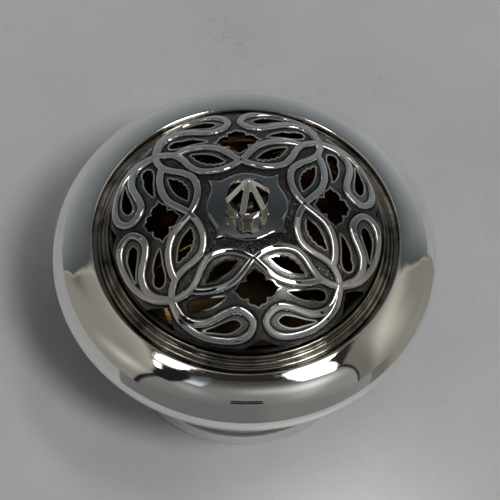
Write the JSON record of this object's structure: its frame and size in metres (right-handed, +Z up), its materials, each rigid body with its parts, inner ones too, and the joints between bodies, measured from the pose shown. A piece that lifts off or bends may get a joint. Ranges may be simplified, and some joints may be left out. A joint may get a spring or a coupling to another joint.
{
  "type": "potpourri pot",
  "caption": "Low round silver potpourri pot: bulbous rolled rim, tapered bowl on a short foot ring, and a loose domed lid pierced and chased with strapwork round a ribbed bud finial.",
  "frame": {"origin": "middle of the foot ring's underside, on the surface that the pot stands on", "axes": "+Z up along the pot's axis; the lid's four pierced lobes lie on +X, +Y, -X and -Y"},
  "size_m": [0.1, 0.1, 0.0833],
  "materials": {
    "polished_silver": "polished sterling silver with fine wear",
    "oxidised_silver": "silver, darkened in the grooves",
    "warm_silver": "cast silver with a warm worn tint",
    "steel": "plain turned steel"
  },
  "bodies": {
    "bowl": {"body_shell": "polished_silver", "foot_ring": "polished_silver", "seat_ring": "oxidised_silver"},
    "lid": {"lid_dome": "polished_silver", "lid_border": "oxidised_silver", "lid_bezel": "polished_silver", "crown_plate": "polished_silver", "finial_calyx": "warm_silver", "finial_bud": "warm_silver", "finial_stud": "steel", "stud_washer": "steel", "stud_nut": "steel"}
  },
  "joints": [
    {"name": "lid_lift", "type": "slide", "parent": "bowl", "child": "lid", "axis": [0, 0, 1], "range_m": [0, 0.06]}
  ]
}
